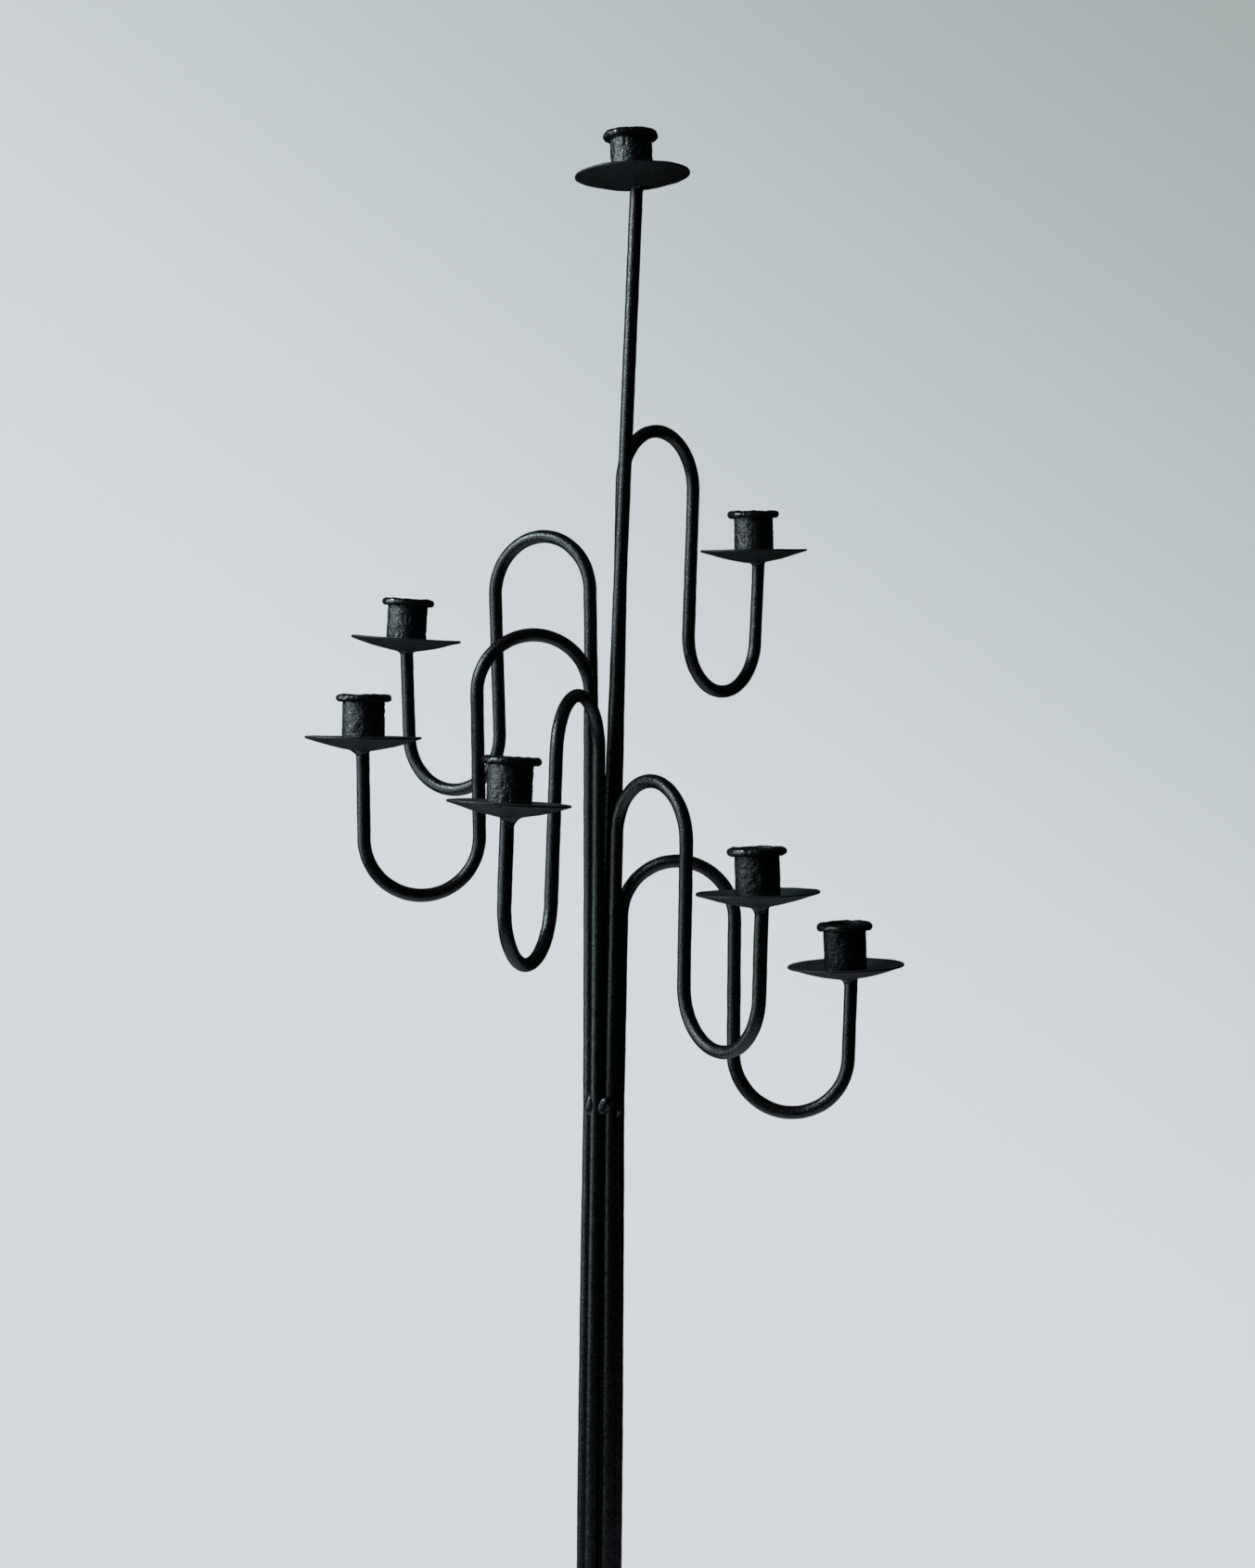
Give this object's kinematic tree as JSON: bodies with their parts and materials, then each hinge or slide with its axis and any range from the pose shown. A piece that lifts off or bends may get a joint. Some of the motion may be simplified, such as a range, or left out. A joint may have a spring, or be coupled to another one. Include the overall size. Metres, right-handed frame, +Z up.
{
  "type": "floor candelabrum",
  "caption": "Floor candelabrum: a bundle of round iron rods that leave the stem in S-bends, each ending in a drip pan and candle cup, on three rod legs.",
  "frame": {"origin": "on the axis of the bundle of rods, at floor level under the feet", "axes": "+Z up along the stem; -Y is the front, from which the picture is taken; +X to its right"},
  "size_m": [0.4047, 0.3918, 1.3322],
  "materials": {
    "rod_iron": "black paint over lightly pitted wrought-iron rod, satin",
    "pan_iron": "black paint over beaten sheet, satin",
    "cup_iron": "black paint over hammered tube, satin",
    "weld_iron": "black paint over lumpy weld, satin",
    "foot_iron": "black paint over plate, satin"
  },
  "bodies": {
    "root": {"centre_rod": "rod_iron", "drip_pan_top": "pan_iron", "candle_cup_top": "cup_iron", "pan_weld_top": "weld_iron", "arm_rod_1": "rod_iron", "drip_pan_1": "pan_iron", "candle_cup_1": "cup_iron", "pan_weld_1": "weld_iron", "arm_rod_2": "rod_iron", "drip_pan_2": "pan_iron", "candle_cup_2": "cup_iron", "pan_weld_2": "weld_iron", "arm_rod_3": "rod_iron", "drip_pan_3": "pan_iron", "candle_cup_3": "cup_iron", "pan_weld_3": "weld_iron", "arm_rod_4": "rod_iron", "drip_pan_4": "pan_iron", "candle_cup_4": "cup_iron", "pan_weld_4": "weld_iron", "arm_rod_5": "rod_iron", "drip_pan_5": "pan_iron", "candle_cup_5": "cup_iron", "pan_weld_5": "weld_iron", "arm_rod_6": "rod_iron", "drip_pan_6": "pan_iron", "candle_cup_6": "cup_iron", "pan_weld_6": "weld_iron", "upper_weld_beads": "weld_iron", "lower_weld_beads": "weld_iron", "foot_pad_2": "foot_iron", "foot_weld_2": "weld_iron", "foot_pad_4": "foot_iron", "foot_weld_4": "weld_iron", "foot_pad_6": "foot_iron", "foot_weld_6": "weld_iron"}
  },
  "joints": []
}
